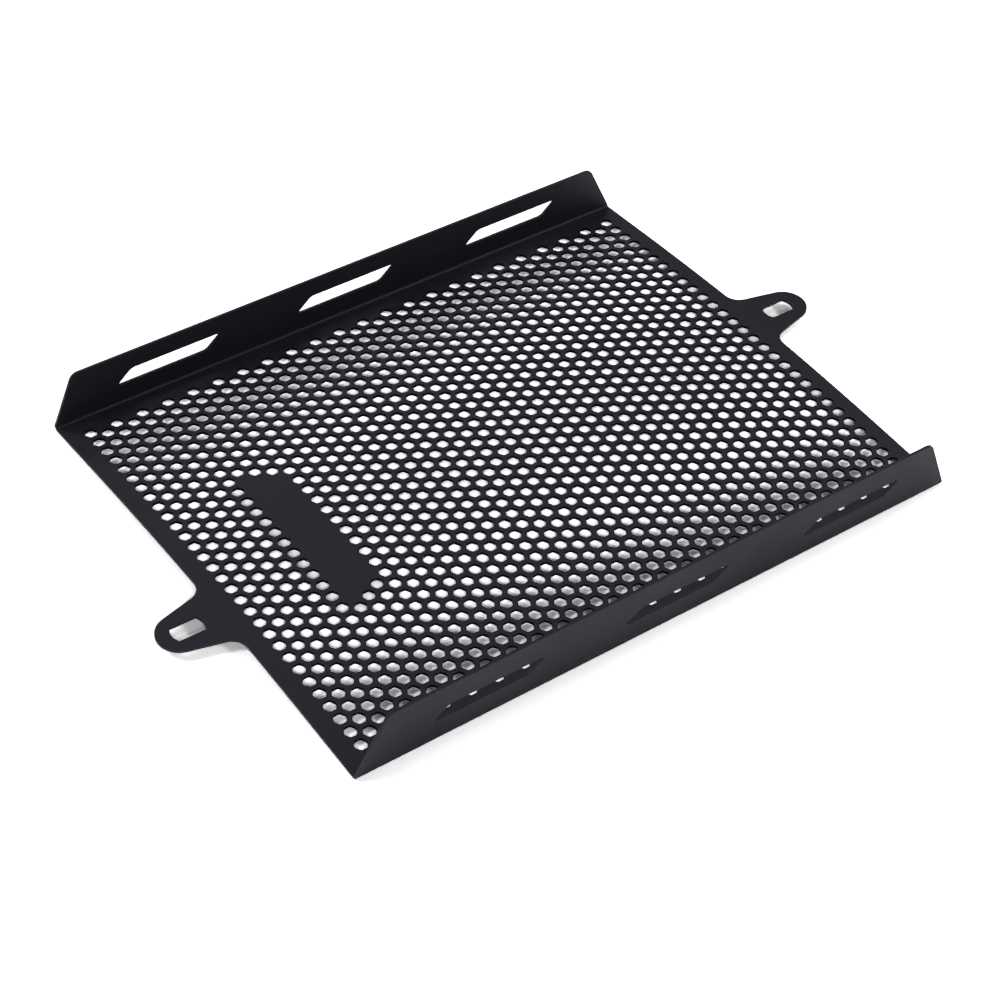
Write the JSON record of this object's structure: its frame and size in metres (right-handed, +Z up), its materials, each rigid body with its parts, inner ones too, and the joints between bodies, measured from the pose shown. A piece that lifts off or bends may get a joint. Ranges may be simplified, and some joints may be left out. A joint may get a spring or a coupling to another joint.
{
  "type": "motorcycle radiator guard",
  "caption": "Perforated sheet guard for a motorcycle radiator: crowned plate with hexagonal holes, slotted upturned flanges front and back, and a slotted fixing tab at each end.",
  "frame": {"origin": "middle of the guard's outline seen from above, on the surface that its two folds lie on", "axes": "+X along the folds, +Y from the front flange to the back one, +Z up through the crowned plate, the way the flanges stand"},
  "size_m": [0.3404, 0.2314, 0.0297],
  "materials": {
    "coated_sheet": "satin black powder coat"
  },
  "bodies": {
    "root": {"guard": "coated_sheet"}
  },
  "joints": []
}
